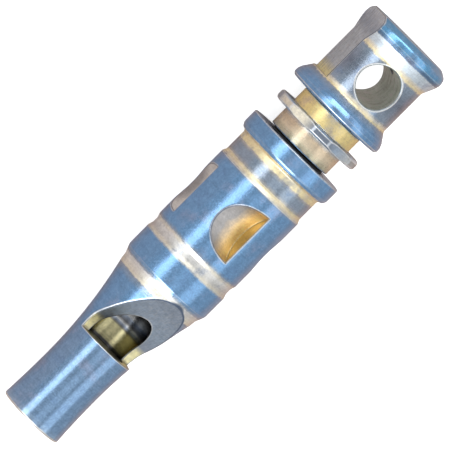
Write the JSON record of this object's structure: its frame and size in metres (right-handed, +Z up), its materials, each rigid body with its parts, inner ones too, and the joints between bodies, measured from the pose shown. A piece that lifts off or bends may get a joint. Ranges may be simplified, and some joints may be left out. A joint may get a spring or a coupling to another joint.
{
  "type": "adjustable whistle call",
  "caption": "Pocket-size turned metal whistle call: flat windway and side window, sliding pitch piston driven by a screwed cap with a lanyard hole, and a hexagonal lock collar.",
  "frame": {"origin": "middle of the whistle's length, on the surface that its two 12.7 mm flanges touch", "axes": "+X along the tube from the mouthpiece to the cap, +Z up through the window, +Y to the left seen from the mouthpiece"},
  "size_m": [0.059, 0.0126, 0.0127],
  "materials": {
    "anodised_titanium": "heat-coloured titanium, blue with champagne and grey bands, fine turning marks",
    "gold_titanium": "heat-coloured titanium, straw gold to grey",
    "black_acetal": "machined black acetal",
    "brass": "turned brass",
    "spring_steel": "stamped spring steel",
    "stainless_steel": "cut thread on stainless steel",
    "black_steel": "blackened steel",
    "black_rubber": "moulded black rubber",
    "pale_plastic": "plain white fluoroplastic",
    "black_nylon": "black nylon"
  },
  "bodies": {
    "barrel": {"barrel": "anodised_titanium", "fipple_block": "black_acetal", "stem_bush": "brass", "bush_clip": "spring_steel"},
    "piston": {"piston": "black_acetal", "piston_o_ring_front": "black_rubber", "piston_o_ring_rear": "black_rubber", "thrust_washer": "pale_plastic"},
    "cap": {"cap": "anodised_titanium", "tuning_stem": "stainless_steel", "cap_set_screw": "black_steel", "stem_clip": "spring_steel"},
    "lock_washer": {"lock_washer": "black_rubber"},
    "lock_collar": {"lock_collar": "gold_titanium", "collar_insert": "black_nylon"}
  },
  "joints": [
    {"name": "tuning_slide", "type": "slide", "parent": "barrel", "child": "piston", "axis": [1, 0, 0], "range_m": [0, 0.004]},
    {"name": "cap_turn", "type": "hinge", "parent": "piston", "child": "cap", "pos_m": [0, 0, 0.00635], "axis": [1, 0, 0], "range_deg": [0, 2881]},
    {"name": "lock_slide", "type": "slide", "parent": "barrel", "child": "lock_washer", "axis": [1, 0, 0], "range_m": [-0.00025, 0]},
    {"name": "lock_turn", "type": "hinge", "parent": "lock_washer", "child": "lock_collar", "pos_m": [0, 0, 0.00635], "axis": [1, 0, 0], "range_deg": [-181, 0]}
  ],
  "couplings": [
    {"joint": "cap_turn", "follows": "tuning_slide", "rad_per_m": 12566},
    {"joint": "lock_turn", "follows": "lock_slide", "rad_per_m": 12566}
  ]
}
